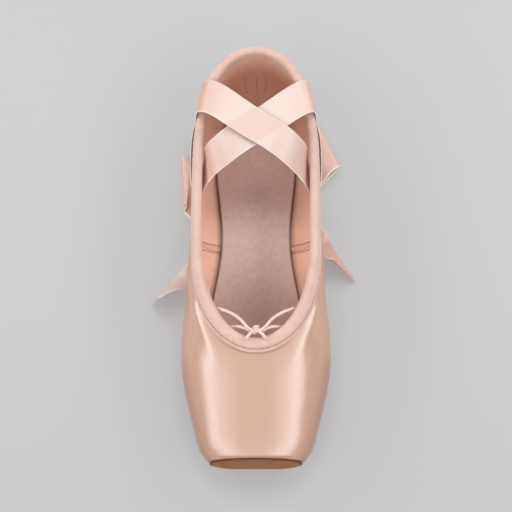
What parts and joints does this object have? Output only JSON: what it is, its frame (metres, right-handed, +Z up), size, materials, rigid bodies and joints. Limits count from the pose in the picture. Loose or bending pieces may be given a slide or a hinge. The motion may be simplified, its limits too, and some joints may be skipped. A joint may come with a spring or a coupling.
{
  "type": "pointe shoe",
  "caption": "Satin pointe shoe standing on its sole, with its two ribbons crossed over the heel opening and tied in a bow under the waist.",
  "frame": {"origin": "on the floor, under the middle of the shoe", "axes": "+Y from the toe towards the heel, +Z up, +X to the shoe's side seen on the right from behind the toe"},
  "size_m": [0.1214, 0.24, 0.0607],
  "materials": {
    "satin": "satin",
    "binding": "matte woven tape",
    "ribbon": "satin",
    "suede": "suede",
    "insole": "suede",
    "leather": "smooth, unpolished",
    "cord": "matte"
  },
  "bodies": {
    "root": {"upper": "satin", "collar_binding": "binding", "outsole": "leather", "insole": "insole", "toe_patch": "suede", "ribbon_over": "ribbon", "ribbon_under": "ribbon", "bow_knot": "ribbon", "bow_loop_left": "ribbon", "bow_loop_right": "ribbon", "bow_tail_left": "ribbon", "bow_tail_right": "ribbon", "drawstring_knot": "cord", "drawstring_loop_left": "cord", "drawstring_loop_right": "cord", "drawstring_end_left": "cord", "drawstring_end_right": "cord"}
  },
  "joints": []
}
